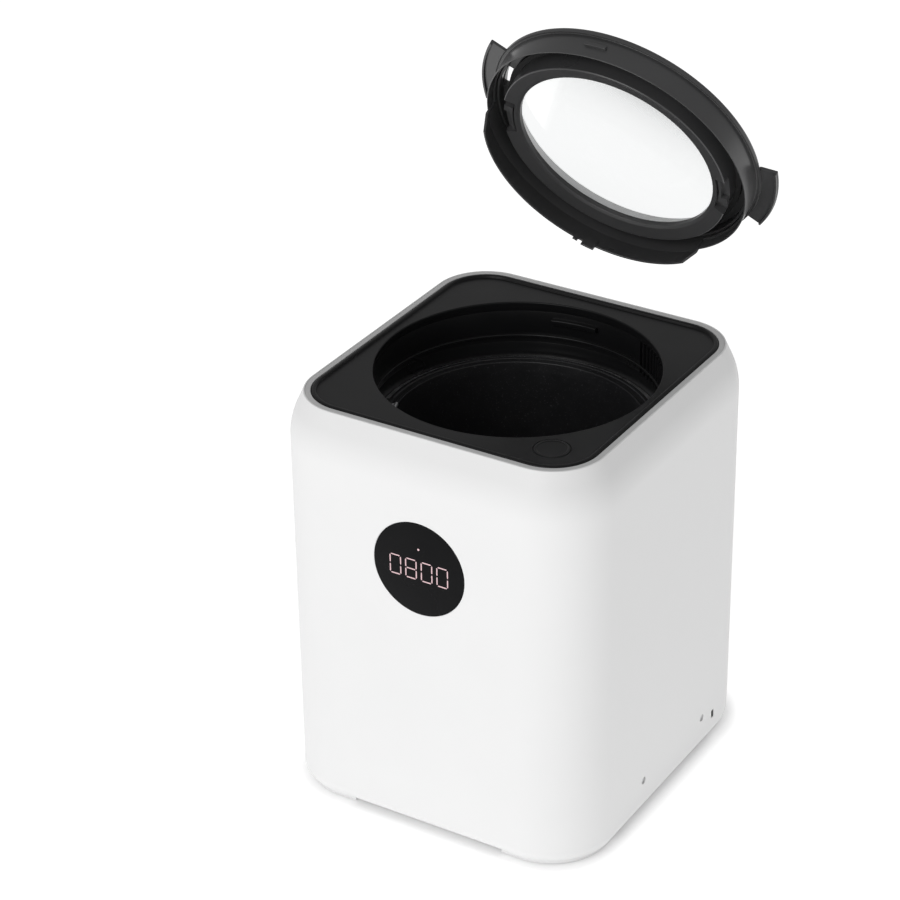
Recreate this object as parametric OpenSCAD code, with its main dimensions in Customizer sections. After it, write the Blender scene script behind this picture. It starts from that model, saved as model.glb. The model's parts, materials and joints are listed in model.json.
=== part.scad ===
// Electric food waste composter: a stirred, heated bucket in a white housing, with a filter drawer at the
// back and a round bayonet lid. Millimetres, +Z up, front towards -Y, origin on the table below the centre.

/* [Housing] */
// Width of the housing
body_w = 270; // [266:1:276]
// Depth of the housing
body_d = 287; // [284:1:292]
// Height of the housing's top rim above the table
body_h = 340; // [340:1:341]
// Radius of the upright corners
corner_r = 53; // [52:0.5:54]
// Wall thickness of the moulded shell
wall = 2.6; // [2.2:0.1:2.8]
// Height of the shell's lower edge above the table
foot_h = 6; // [6:0.5:7]
// Slope of the shoulder below the top rim, from the upright
shoulder_slope = 24; // [22:1:26]
// Radius that blends the walls into the shoulder
shoulder_r = 60; // [50:5:65]

/* [Deck] */
// Radius of the round opening in the deck
opening_r = 108.6; // [108.4:0.1:108.8]
// Place of the start button on the deck, to the right of the middle
button_x = 84.4; // [80:0.2:88]
// Place of the start button on the deck, in front of the middle
button_y = -96.2; // [-100:0.2:-92]
// Radius of the start button
button_r = 13.4; // [12:0.1:13.5]
// Travel of the start button
button_travel = 1.5; // [1:0.1:1.5]

/* [Bucket] */
// Outer radius of the bucket at its foot
bucket_foot_r = 93; // [90:1:94]
// Outer radius of the bucket below its rim
bucket_top_r = 97; // [96:0.5:97]
// Height of the bucket's underside above the table
bucket_z = 133; // [133:0.2:134]
// Height of the underside of the bucket's rim
bucket_rim_z = 290; // [290:0.1:290.6]
// Wall thickness of the bucket
bucket_wall = 1.8; // [1.5:0.1:2.2]

/* [Drive] */
// Gear module
gear_m = 1.5; // [1.4:0.1:1.5]
// Teeth of the output gear
output_teeth = 60; // [58:1:60]
// Teeth of the large idler gear
idler_teeth = 56; // [54:1:56]
// Teeth of the small idler gear and of the motor pinion
pinion_teeth = 14; // [14:1:15]
// Backlash on the pitch circle
backlash = 0.15; // [0.1:0.01:0.2]
// Direction from the output shaft to the idler
idler_angle = -45; // [-46:0.5:-44]

/* [Lid] */
// Outer radius of the lock ring's flange
ring_r = 109; // [108:0.5:110]
// Radius of the window that is seen
window_r = 79; // [77:0.5:80]
// Opening angle of the lid as drawn
lid_open = 63.7; // [0:0.1:63.7]
// Direction of the line that the lid swings about, from +X
hinge_yaw = 173.5; // [173:0.1:174]
// Rise of that line towards its end
hinge_rise = 10; // [9:0.1:11]
// A point on that line, to the right of the middle
hinge_x = 23; // [20:1:26]
// A point on that line, behind the middle
hinge_y = 178; // [172:1:184]
// A point on that line, above the table
hinge_z = 343; // [340:1:346]

/* [Filter] */
// Left side of the filter bay
bay_left = -33; // [-35:1:-30]
// Right side of the filter bay
bay_right = 81; // [78:1:81]
// Front of the filter bay
bay_front = 58; // [58:1:62]
// Top of the filter bay
bay_top = 112; // [105:1:114]

/* [Hidden] */
$fn = 96;

white = "whitesmoke";
black = [0.09, 0.09, 0.1];
dark = [0.2, 0.2, 0.21];
steel = "silver";
brass = "goldenrod";
coat = [0.16, 0.16, 0.17];

button_at = [button_x, button_y];
hinge_at = [hinge_x, hinge_y, hinge_z];
bay_x = [bay_left, bay_right];
bay_y = [bay_front, body_d / 2 - 3];

// The upright corners' centres, from which every housing profile is measured
corner_x = body_w / 2 - corner_r;
corner_y = body_d / 2 - corner_r;

// Heights in the housing
rim_z = body_h;
ledge_z = rim_z - 8;
deck_z = rim_z - 1.5;
deck_low = rim_z - 4.5;
ledge_top = bucket_rim_z - 1.6;
chassis_z = 118;
chassis_t = 4;
base_z = foot_h + wall;
base_t = 3;
liner_z = 126;
liner_r = 100;

// Shoulder of the shell: straight slope down from the rim, then an arc into the upright wall
rim_x = 42.2;
arc_x = corner_r - shoulder_r;
slope_x = arc_x + shoulder_r * cos(shoulder_slope);
slope_z = rim_z - (slope_x - rim_x) / tan(shoulder_slope);
arc_z = slope_z - shoulder_r * sin(shoulder_slope);

// The display's centre height and size
display_z = 236.5;
display_r = 38.7;
front_y = -body_d / 2;

// Running clearance of a shaft in its bearing
run = 0.05;
shaft_r = 7.95;

function polar(r, a) = [r * cos(a), r * sin(a)];
function arc_points(r, a0, a1, steps) = [for (i = [0:steps]) polar(r, a0 + (a1 - a0) * i / steps)];
function shifted(points, by) = [for (p = points) p + by];

module rounded2d(hx, hy, r) {
    square([2 * hx, 2 * (hy - r)], center = true);
    square([2 * (hx - r), 2 * hy], center = true);
    for (sx = [-1, 1], sy = [-1, 1])
        translate([sx * (hx - r), sy * (hy - r)]) circle(r);
}

// A plate of the housing's outline whose edge lies at x from the corner centres
module body_slab(x, z0, z1) {
    translate([0, 0, z0]) linear_extrude(z1 - z0) rounded2d(corner_x + x, corner_y + x, x);
}

// Sweeps a profile round the housing: its x is measured from the corner centres, its y is the height
module body_sweep() {
    for (k = [0:3]) {
        out = k % 2 == 0 ? corner_x : corner_y;
        along = k % 2 == 0 ? corner_y : corner_x;
        rotate(90 * k) translate([out, along, 0]) {
            rotate([90, 0, 0]) linear_extrude(2 * along) children();
            rotate_extrude(angle = 90) children();
        }
    }
}

module box(lo, hi) {
    translate(lo) cube(hi - lo);
}

module tube(r_out, r_in, z0, z1) {
    translate([0, 0, z0]) difference() {
        cylinder(r = r_out, h = z1 - z0);
        translate([0, 0, -1]) cylinder(r = r_in, h = z1 - z0 + 2);
    }
}

module rod(r, z0, z1) {
    translate([0, 0, z0]) cylinder(r = r, h = z1 - z0);
}

// A bent box: part of a ring between two radii, heights and angles
module ring_sector(r_in, r_out, z0, z1, a0, a1) {
    rotate(a0) rotate_extrude(angle = a1 - a0) translate([r_in, z0]) square([r_out - r_in, z1 - z0]);
}

// Direction from a circle's centre to where a belt leaves it towards the next circle, anticlockwise
function leaves(p, rp, q, rq) = atan2(q[1] - p[1], q[0] - p[0]) - acos((rp - rq) / norm(q - p));

// Outline of a belt laid round circles that are listed anticlockwise
function belt(at, r) = let (n = len(at)) [for (i = [0:n - 1]) let (
    j = (i + 1) % n,
    h = (i + n - 1) % n,
    a0 = leaves(at[h], r[h], at[i], r[i]),
    a1 = leaves(at[i], r[i], at[j], r[j]),
    turn = a1 - a0 < 0 ? a1 - a0 + 360 : a1 - a0
) each shifted(arc_points(r[i], a0, a0 + turn, ceil(turn / 12)), at[i])];

// Housing

module shell_profile() {
    polygon(concat(
        shifted([for (a = [0:15:90]) [4 * sin(a), -8 * cos(a)]], [corner_r - 4, foot_h + 8]),
        shifted(arc_points(shoulder_r, 0, shoulder_slope, 6), [arc_x, arc_z]),
        [[rim_x, rim_z], [41, rim_z], [41, ledge_z], [37.5, ledge_z], [37.5, ledge_z - 2.5],
         [corner_r - wall - 1.5, arc_z + 12], [corner_r - wall, arc_z - 4]],
        shifted([for (a = [90:-15:0]) [1.4 * sin(a), -5.4 * cos(a)]], [corner_r - 4, foot_h + 8]),
        [[corner_r - 9, base_z], [corner_r - 9, foot_h]]));
}

side_screws = [[-40, 32], [58, 32]];
port_at = [77, 25];
inlet_x = [-72, -44];
inlet_z = [26, 46];

module outer_shell() color(white) difference() {
    body_sweep() shell_profile();
    facing_front(front_y) rod(display_r + 0.2, -10, 10);
    for (s = side_screws) translate([0, s[0], s[1]]) rotate([0, 90, 0]) {
        cylinder(r = 3.1, h = body_w + 10, center = true);
    }
    box([body_w / 2 - 10, port_at[0] - 2.1, port_at[1] - 3.6],
        [body_w / 2 + 10, port_at[0] + 2.1, port_at[1] + 3.6]);
    box([bay_x[0] + 1, body_d / 2 - 10, 15], [bay_x[1] - 1, body_d / 2 + 10, bay_top - 1]);
    box([inlet_x[0] - 0.1, body_d / 2 - 10, inlet_z[0] - 0.1],
        [inlet_x[1] + 0.1, body_d / 2 + 10, inlet_z[1] + 0.1]);
}

module trim_ring() color([0.62, 0.62, 0.62]) body_sweep() polygon([[40.9, ledge_z], [40.9, rim_z - 0.6],
    [40.3, rim_z - 0.1], [37.2, rim_z], [36.6, rim_z - 0.5], [36.6, ledge_z + 3], [33, ledge_z + 3],
    [33, ledge_z]]);

// The deck has a raised, rounded lip all round and one big round opening
module deck_plate() color(black) difference() {
    union() {
        body_slab(32, deck_low, deck_z);
        body_sweep() polygon(concat([[31.6, ledge_z + 3], [36.1, ledge_z + 3]],
            shifted(arc_points(1.6, 0, 90, 4), [34.5, rim_z - 1]),
            shifted(arc_points(1.2, 90, 150, 3), [33.4, rim_z - 0.6]), [[31.6, deck_z]]));
    }
    rod(opening_r, deck_low - 1, rim_z + 2);
    translate(button_at) rod(button_r + 0.5, deck_low - 1, rim_z + 2);
}

// Collar below the opening: its foot carries the liner, its grille takes the air, its ledges lock the lid
collar_r = 110.5;
collar_t = 2.5;
collar_foot = ledge_top - 3;
grille_a = [20, 45];
grille_z = [303, 330];
grille_ribs = 8;
module collar() color(black) {
    difference() {
        union() {
            tube(collar_r + collar_t, collar_r, collar_foot, deck_low);
            tube(collar_r + 1.5, 108.4, collar_foot, ledge_top);
            tube(collar_r + 1.5, 108.5, 308, 310);
        }
        ring_sector(105, 115, grille_z[0], grille_z[1], grille_a[0], grille_a[1]);
        ring_sector(105, 115, 311, 315, 96.5, 99.5);
    }
    for (i = [1:grille_ribs]) rotate(grille_a[0] + (grille_a[1] - grille_a[0]) * i / (grille_ribs + 1))
        box([collar_r - 1.1, -0.7, grille_z[0] - 0.5], [collar_r + collar_t - 0.1, 0.7, grille_z[1] + 0.5]);
    ring_sector(106.4, collar_r + 0.5, 321, 325, 86, 106);
    ring_sector(106.4, collar_r + 0.5, 332.4, deck_low, 266, 286);
}

// Liner of the heated well, hung by its lip on the collar's foot; the bucket's rim rests on the lip
liner_t = 1.5;
module well_liner() color(steel) {
    difference() {
        rod(liner_r + liner_t, liner_z, ledge_top);
        rod(liner_r, liner_z + liner_t, ledge_top + 1);
        rod(12, liner_z - 1, liner_z + 5);
    }
    tube(collar_r - 0.3, liner_r, ledge_top, bucket_rim_z);
}

module heater_plate() color("lightgray") difference() {
    rod(90, chassis_z + chassis_t, liner_z);
    rod(16, chassis_z, liner_z + 1);
}

module heater_band() color("tan") difference() {
    tube(liner_r + liner_t + 1.9, liner_r + liner_t, 134, 200);
    box([-2, liner_r - 5, 130], [2, liner_r + 10, 204]);
}

module insulation_wrap() color("khaki") tube(110, 104.3, 130, 280);

module base_plate() color(steel) {
    difference() {
        union() {
            body_slab(corner_r - wall - 1.7, base_z, base_z + base_t);
            for (s = [-1, 1]) box([s * 130.7 - 0.9, -58, base_z + 1.8], [s * 130.7 + 0.9, 78, 44]);
        }
        for (s = side_screws) translate([0, s[0], s[1]]) rotate([0, 90, 0])
            cylinder(r = 1.65, h = body_w, center = true);
        base_corners() rod(2.1, 0, 20);
        translate([0, -74, 0]) for (i = [0:5]) rotate(60 * i) translate([16, 0, 0]) rod(4, 0, 20);
        box([120, port_at[0] - 5, port_at[1] - 6], [140, port_at[0] + 5, port_at[1] + 6]);
    }
}

module base_corners() {
    for (sx = [-1, 1], sy = [-1, 1]) translate([sx * 94, sy * 102, 0]) children();
}

// Four corner feet that carry on the housing's outline, open between
module feet() color(white) difference() {
    body_sweep() polygon([[0, 1.6], [47.6, 1.6], [48.2, 2.2], [48.8, foot_h], [0, foot_h]]);
    box([-66, -200, 0], [66, 200, 10]);
    box([-200, -78, 0], [200, 78, 10]);
    base_corners() {
        rod(16.2, 0, 3);
        rod(2.1, 0, 20);
        rod(4.3, 0, 4.5);
    }
}

module foot_pads() color(dark) base_corners() tube(16, 4.5, 0, 3);

module base_screws() color(steel) base_corners() {
    rod(4, 2.6, 4.5);
    rod(2, 4.5, base_z + base_t + 3);
}

module shell_screws() color(dark) for (k = [-1, 1], s = side_screws)
    translate([0, s[0], s[1]]) rotate([0, k * 90, 0]) {
        rod(3, body_w / 2 - 2.6, body_w / 2 - 0.9);
        rod(1.6, body_w / 2 - 12, body_w / 2 - 2.6);
    }

post_at = [104, 110];
module chassis_plate() color(steel) difference() {
    body_slab(corner_r - wall - 2, chassis_z, chassis_z + chassis_t);
    rod(14, chassis_z - 1, chassis_z + 10);
    rotate(36) box([112, -24, 100], [150, 24, 130]);
    for (sx = [-1, 1], sy = [-1, 1]) translate([sx * post_at[0], sy * post_at[1], 0]) rod(2.1, 100, 130);
}

module chassis_posts() color(steel) for (sx = [-1, 1], sy = [-1, 1])
    translate([sx * post_at[0], sy * post_at[1], 0]) {
        rod(6, base_z + base_t, chassis_z);
        rod(2, chassis_z, chassis_z + 5.2);
        translate([0, 0, chassis_z + chassis_t]) cylinder(r = 4.2, h = 2.6, $fn = 6);
    }

// Gear train: motor pinion, idler with a large and a small gear, output gear

output_r = gear_m * output_teeth / 2;
idler_r = gear_m * idler_teeth / 2;
pinion_r = gear_m * pinion_teeth / 2;
idler_at = polar(output_r + pinion_r, idler_angle);
motor_y = idler_at[1] - sqrt(pow(idler_r + pinion_r, 2) - pow(idler_at[0], 2));
motor_at = [0, motor_y];
motor_angle = atan2(motor_at[1] - idler_at[1], motor_at[0] - idler_at[0]);
tooth_gap = 180 / pinion_teeth;

// Angle that the involute of base radius rb has turned through at radius r
function involute(rb, r) = let (t = sqrt(max(0, pow(r / rb, 2) - 1))) t * 180 / PI - atan(t);

// Outline of a spur gear with involute flanks, a tooth centred on +X
function gear_outline(teeth, tip) = let (
    rp = gear_m * teeth / 2,
    rb = rp * cos(20),
    ra = rp + tip * gear_m,
    rf = rp - 1.25 * gear_m,
    r0 = max(rb, rf),
    half = 90 / teeth - 90 * backlash / (PI * rp) + involute(rb, rp),
    flank = [for (i = [0:3]) let (r = r0 + (ra - r0) * i / 3) [r, half - involute(rb, r)]]
) [for (k = [0:teeth - 1]) let (at = 360 * k / teeth) each concat(
    [polar(rf, at - flank[0][1])],
    [for (i = [0:3]) polar(flank[i][0], at - flank[i][1])],
    [for (i = [3:-1:0]) polar(flank[i][0], at + flank[i][1])],
    [polar(rf, at + flank[0][1])])];

module gear(teeth, tip, z0, z1) {
    translate([0, 0, z0]) linear_extrude(z1 - z0) polygon(gear_outline(teeth, tip));
}

case_z = 84;
cover_z = 115;

module case2d(grow) {
    polygon(belt([[0, 0], motor_at, idler_at],
        [output_r + 4 + grow, pinion_r + 6 + grow, idler_r + 4 + grow]));
}

module gearbox_case() color("lightgray") {
    difference() {
        union() {
            translate([0, 0, case_z]) linear_extrude(cover_z - case_z) case2d(2.5);
            rod(17, 74, case_z + 1);
        }
        translate([0, 0, case_z + 2]) linear_extrude(cover_z) case2d(0);
        rod(14, 76, case_z + 5);
        rod(shaft_r + 1, 70, 80);
        translate(idler_at) rod(3, 80, 90);
        translate(motor_at) rod(13, 80, 90);
    }
}

module gearbox_cover() color("lightgray") difference() {
    translate([0, 0, cover_z]) linear_extrude(chassis_z - cover_z) case2d(2.5);
    rod(14, cover_z - 1, chassis_z + 1);
    translate(idler_at) rod(3, cover_z - 1, chassis_z + 1);
}

module output_bearings() color(steel) {
    tube(14, shaft_r + run, 76, case_z);
    tube(14, shaft_r + run, 112.5, chassis_z);
}

module drive_seal() color(dark) tube(14, shaft_r + run, chassis_z, chassis_z + chassis_t);

module idler_pin() color(steel) translate(idler_at) rod(3, case_z, chassis_z);

module drive_motor() color("slategray") translate(motor_at) difference() {
    union() {
        rod(30, 20, 82);
        rod(22, base_z + base_t, 20);
        rod(12.9, 82, case_z + 1);
        tube(30, 14, 82, case_z);
    }
    rod(2.5 + run, 60, 90);
}

module output_shaft() color(steel) rod(shaft_r, 77, 125);

module output_gear() color("ivory") difference() {
    union() {
        rotate(idler_angle) gear(output_teeth, 0.9, 100, 110);
        rod(14, 109, 112);
    }
    rod(shaft_r, 90, 120);
    for (i = [0:5]) rotate(60 * i) translate([28, 0, 0]) rod(7.5, 90, 120);
}

module drive_coupler() color(steel) difference() {
    rod(11, chassis_z + chassis_t + 0.4, 131);
    rod(shaft_r, chassis_z, 125);
    box([-20, -2.5, 126], [20, 2.5, 140]);
}

module idler_gear() color("ivory") translate(idler_at) difference() {
    union() {
        rotate(motor_angle) gear(idler_teeth, 0.9, 88, 96);
        rod(8, 86.6, 99);
        rotate(idler_angle + 180 + tooth_gap) gear(pinion_teeth, 1, 98.5, 111);
    }
    rod(3 + run, 80, 120);
    for (i = [0:5]) rotate(60 * i) translate([26, 0, 0]) rod(7, 80, 97);
}

module motor_shaft() color(steel) translate(motor_at) rod(2.5, 62, 97.5);

module motor_pinion() color(brass) translate(motor_at) difference() {
    rotate(motor_angle + 180 + tooth_gap) gear(pinion_teeth, 1, 87, 97);
    rod(2.5, 80, 100);
}

// Air path: from the grille in the collar, down the duct, through the blower and the filter, out at the back

blower_at = [90, -6];
module blower_housing() color(dark) translate(blower_at) difference() {
    union() {
        rod(38, 30, 66);
        box([-36, 0, 30], [-10, 64, 66]);
    }
    rod(36, 32, 64);
    rod(20, 60, 70);
    rod(17, 20, 40);
    box([-34, 0, 32], [-12, 70, 64]);
}

module blower_motor() color("slategray") translate(blower_at) difference() {
    rod(16.5, base_z + base_t, 31);
    rod(2 + run, 15, 40);
}

module fan_rotor() color(black) translate(blower_at) {
    rod(2, 16, 33);
    rod(8, 33, 46);
    difference() {
        rod(31, 33.4, 35.4);
        rod(7, 33, 36);
    }
    tube(31, 25, 58, 60);
    for (i = [0:19]) rotate(18 * i) translate([24.5, 0, 35]) rotate(35) box([0, -0.5, 0], [6.4, 0.5, 24]);
}

duct_a = 36;
duct_r = [118, 144];
duct_half = 20;
duct_wall = 1.6;

// A point of the duct in plan, r out from the centre and t to the side
function duct_at(r, t) = [r * cos(duct_a) - t * sin(duct_a), r * sin(duct_a) + t * cos(duct_a)];

module air_duct() color(dark) difference() {
    union() {
        duct_upright(0, 331, 68, 113.4);
        duct_leg(0);
    }
    duct_upright(duct_wall, 331 - duct_wall, 75, 110);
    duct_leg(duct_wall);
    translate(blower_at) rod(18, 60, 70);
}

// The upright part, with a neck to the collar at its top
module duct_upright(inset, top, low, neck_r) {
    half = duct_half - inset;
    rotate(duct_a) translate([0, half, 0]) rotate([90, 0, 0]) linear_extrude(2 * half)
        polygon([[neck_r, 301 + inset], [neck_r, top], [duct_r[1] - 16 - inset, top],
            [duct_r[1] - inset, top - 19], [duct_r[1] - inset, low], [duct_r[0] + inset, low],
            [duct_r[0] + inset, 301 + inset]]);
}

// The low part, which turns towards the blower's inlet
module duct_leg(inset) {
    out = duct_r[1] + 1.5 - inset;
    in = duct_r[0] - 1.5 + inset;
    side = duct_half + 1.5 - inset;
    translate([0, 0, 66 + inset]) linear_extrude(16 - 2 * inset) polygon([[68 + inset, -28 + inset],
        [112 - inset, -28 + inset], duct_at(out, -side), duct_at(out, side), duct_at(in, side),
        [84 + inset, 54], [68 + inset, 16]]);
}

drawer_gap = 0.6;
module filter_bay() color("gainsboro") difference() {
    box([bay_x[0], bay_y[0], base_z + base_t], [bay_x[1], bay_y[1], bay_top]);
    box([bay_x[0] + 2, bay_y[0] + 2, 14.5], [bay_x[1] - 2, bay_y[1] + 1, bay_top - 2]);
    box([56, bay_y[0] - 1, 32], [78, bay_y[0] + 3, 64]);
}

face_y = body_d / 2;
face_x = [bay_x[0] + 1.4, bay_x[1] - 1.4];
tray_x = [bay_x[0] + 2 + drawer_gap, bay_x[1] - 2 - drawer_gap];
tray_y = [bay_y[0] + 2 + drawer_gap, bay_y[1] + 0.4];

// A tray open at its inner side for the air, with a louvred face and a finger recess
module filter_drawer() color(white) difference() {
    union() {
        box([tray_x[0], tray_y[0], 15.1], [tray_x[1], tray_y[1], bay_top - 2.6]);
        box([face_x[0], tray_y[1], 15.4], [face_x[1], face_y + 0.4, bay_top - 1.4]);
    }
    box([tray_x[0] + 1.6, tray_y[0] + 1.6, 16.7], [tray_x[1] - 1.6, tray_y[1] - 16, bay_top]);
    box([tray_x[0] + 1.6, tray_y[1] - 14, 16.7], [tray_x[1] - 1.6, tray_y[1], 80]);
    for (i = [0:3]) box([tray_x[0] + 8, 50, 24 + 14 * i], [tray_x[1] - 8, tray_y[1] - 12, 32 + 14 * i]);
    for (i = [0:9])
        box([tray_x[0] + 10, tray_y[1] - 5, 22 + 5.2 * i], [tray_x[1] - 10, face_y + 5, 24.6 + 5.2 * i]);
    box([4, tray_y[1] - 10, 88], [44, face_y + 5, 104]);
}

module carbon_pad() color([0.15, 0.15, 0.15]) {
    box([tray_x[0] + 1.8, tray_y[0] + 1.8, 16.9], [tray_x[1] - 1.8, tray_y[1] - 16.2, bay_top - 5]);
}

// Electrical parts

module power_inlet() color(black) {
    difference() {
        union() {
            box([inlet_x[0] - 3, 138, inlet_z[0] - 3], [inlet_x[1] + 3, 140.8, inlet_z[1] + 3]);
            box([inlet_x[0], 120, inlet_z[0]], [inlet_x[1], body_d / 2, inlet_z[1]]);
        }
        box([inlet_x[0] + 2.5, 124, inlet_z[0] + 2.5], [inlet_x[1] - 2.5, 150, inlet_z[1] - 2.5]);
    }
    for (i = [-1:1]) translate([(inlet_x[0] + inlet_x[1]) / 2 + 7 * i, 0, 36 + 2 * (1 - abs(i))])
        box([-1, 123, -2.5], [1, 137, 2.5]);
}

module control_board() color("darkgreen") {
    box([-122, -48, 22], [-120.4, 48, 98]);
    box([-120.4, -40, 60], [-104, -12, 92]);
    box([-120.4, 0, 64], [-110, 30, 84]);
    box([-120.4, -34, 28], [-112, 34, 38]);
    for (y = [-44, 44], z = [26, 94]) translate([-129.7, y, z]) rotate([0, 90, 0]) rod(3, 0, 7.7);
}

module facing_front(y) {
    translate([0, y, display_z]) rotate([90, 0, 0]) children();
}

digit_pitch = 13.4;
digit_w = 9;
digit_h = 15.8;
bar_w = 1.5;
bar_gap = 0.5;

// The bars of a seven-segment digit: 0 to 5 run round it from the top, 6 is the middle one
module digit_bar(i) {
    w = digit_w / 2;
    h = digit_h / 2;
    if (i == 6) bar2d([-w, 0], [w, 0]);
    if (i == 0) bar2d([-w, h], [w, h]);
    if (i == 3) bar2d([-w, -h], [w, -h]);
    if (i == 1) bar2d([w, 0], [w, h]);
    if (i == 2) bar2d([w, -h], [w, 0]);
    if (i == 4) bar2d([-w, -h], [-w, 0]);
    if (i == 5) bar2d([-w, 0], [-w, h]);
}

// A bar from p to q, shortened at both ends to leave a gap
module bar2d(p, q) {
    d = (q - p) / norm(q - p);
    c = (p + q) / 2;
    l = norm(q - p) - bar_w - bar_gap;
    translate(c) rotate(atan2(d[1], d[0])) square([l, bar_w], center = true);
}

shown = [[0, 1, 2, 3, 4, 5], [0, 1, 2, 3, 4, 5, 6], [0, 1, 2, 3, 4, 5], [0, 1, 2, 3, 4, 5]];
module digits2d() {
    for (k = [0:3], i = shown[k]) translate([(k - 1.5) * digit_pitch, -1]) digit_bar(i);
    translate([0, 17]) circle(1.1);
}

module display_lens() color(black) difference() {
    facing_front(front_y + 2) rod(display_r, 0, 2.3);
    facing_front(front_y) linear_extrude(2) digits2d();
}

module display_digits() color("mistyrose") facing_front(front_y) linear_extrude(0.35) digits2d();

module display_frame() color(dark) facing_front(front_y + 6.6) difference() {
    union() {
        rod(display_r + 6, 0, 4);
        rod(display_r, 4, 4.6);
    }
    rod(display_r - 3, -1, 10);
}

module display_board() color("darkgreen") facing_front(front_y + 8.4) rod(display_r + 3, 0, 1.8);

switch_top = 328.8;
module button_switch() color(dark) translate(button_at) {
    rod(9, 320, switch_top);
    box([-9, -20, 318], [20, 9, 320]);
    box([16, -9, 318], [20, 6, deck_low]);
    box([-6, -20, 318], [8, -16, deck_low]);
}

module button_cap() color(black) translate(button_at) {
    difference() {
        rod(button_r, deck_low, deck_z + 0.2);
        rod(button_r - 1.6, deck_low - 1, deck_z - 1.6);
    }
    rod(2.5, switch_top + button_travel + 0.3, deck_z - 1);
}

module lid_switch() color(dark) rotate(98) {
    box([113.2, -8, 303], [124, 8, 321]);
    box([110.9, -2, 311.5], [113.2, 2, 314.5]);
}

module side_port() color(dark) difference() {
    box([124, port_at[0] - 2, port_at[1] - 3.5], [body_w / 2 - 0.5, port_at[0] + 2, port_at[1] + 3.5]);
    box([128, port_at[0] - 1, port_at[1] - 2.5], [body_w / 2 + 1, port_at[0] + 1, port_at[1] + 2.5]);
}

// Bucket, blade and bail

hub_top = 165;
hub_r = 14;
bucket_floor_z = bucket_z + 3;
bucket_corner = 5;
bucket_neck_z = bucket_rim_z - 6.6;
bail_at = 20;
module bucket() color(coat) {
    rotate_extrude() polygon(concat(
        [[hub_r, bucket_z], [bucket_foot_r - bucket_corner, bucket_z]],
        shifted(arc_points(bucket_corner, -60, 0, 4),
            [bucket_foot_r - bucket_corner, bucket_z + bucket_corner]),
        [[bucket_top_r, bucket_neck_z], [bucket_top_r + 1.2, bucket_rim_z - 0.6],
         [bucket_top_r + 1.8, bucket_rim_z],
         [105.5, bucket_rim_z], [105.5, bucket_rim_z + 2.4], [95.6, bucket_rim_z + 2.4],
         [bucket_top_r - bucket_wall, bucket_neck_z]],
        shifted(arc_points(bucket_corner - bucket_wall, 0, -90, 4),
            [bucket_foot_r - bucket_corner, bucket_z + bucket_corner + 2]),
        [[hub_r, bucket_floor_z]]));
    for (s = [0, 180]) rotate(bail_at + s) difference() {
        box([97, -6, bucket_rim_z + 1.6], [103, 6, bucket_rim_z + 9]);
        translate([0, 0, pivot_z]) rotate([0, 90, 0]) rod(bail_pin + run, 90, 110);
    }
}

pivot_z = bucket_rim_z + 6.2;

// Hub pressed into the bucket's floor, with a flange inside
module bucket_hub() color(steel) {
    difference() {
        union() {
            rod(hub_r - 0.04, bucket_z, hub_top);
            rod(hub_r + 4, bucket_floor_z, bucket_floor_z + 1.8);
        }
        rod(shaft_r + 2 * run, bucket_z - 1, hub_top + 1);
    }
}

module breaker_bars() color(steel) for (a = [55, 235]) rotate(a) difference() {
    box([62, -4, 160], [96, 4, 170]);
    tube(120, bucket_foot_r - bucket_wall + (bucket_top_r - bucket_foot_r) * 0.15, 150, 180);
}

module hub_seal() color("firebrick") tube(hub_r - 0.1, shaft_r + 2 * run, hub_top, hub_top + 2);

bail_r = 95;
bail_wire = 2;
bail_pin = 1.9;
module bail_handle() color(steel) {
    translate([0, 0, pivot_z]) rotate(bail_at + 178.5) rotate_extrude(angle = 183)
        translate([bail_r, 0]) circle(bail_wire);
    for (s = [0, 180]) rotate(bail_at + s) translate([0, 0, pivot_z]) rotate([0, 90, 0])
        rod(bail_pin, bail_r - 1, bail_r + 9);
}

module bail_grip() color(black) translate([0, 0, pivot_z]) rotate(bail_at + 248) rotate_extrude(angle = 44)
    translate([bail_r, 0]) difference() {
        circle(3.2);
        circle(bail_wire);
    }

module blade_shaft() color(steel) {
    rod(shaft_r + 0.05, 131.6, 172);
    box([-8, -2.1, 126.5], [8, 2.1, 131.6]);
}

// A crescent arm in plan, from the hub out to radius r
module arm2d(r, root_w, tip_w) {
    polygon([for (side = [-1, 1], i = [0:8]) let (
        t = (side < 0 ? i : 8 - i) / 8,
        half = (root_w + (tip_w - root_w) * t) / 2
    ) polar(10 + (r - 10) * t, 26 * t * t) + [0, side * half]]);
}

module stir_blade() color(steel) {
    difference() {
        union() {
            rod(20, 140, 174);
            for (k = [0, 180]) rotate(k) translate([0, 0, 138.5]) linear_extrude(13) arm2d(86, 20, 9);
            rod(9, 174, 214);
            rotate(100) translate([0, 0, 176]) linear_extrude(12) arm2d(80, 14, 8);
        }
        rod(14.6, 130, 168);
        rod(shaft_r + 0.05, 160, 172);
    }
}

module blade_cap() color(steel) {
    rod(11, 214, 219);
    translate([0, 0, 219]) cylinder(r1 = 11, r2 = 6, h = 4);
}

// Lid, modelled seated on the deck and then swung open

ring_top = 343.4;
guide_r = 103.24;
plug_r = 91.7;
plug_z = 317.5;
step_z = 319.8;
edge_z = 321.2;
glass_z = 325;
bezel_r = plug_r - 2.6;

module swing() {
    translate(hinge_at) rotate(a = lid_open, v = [cos(hinge_rise) * cos(hinge_yaw),
        cos(hinge_rise) * sin(hinge_yaw), sin(hinge_rise)]) translate(-hinge_at) children();
}

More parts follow.
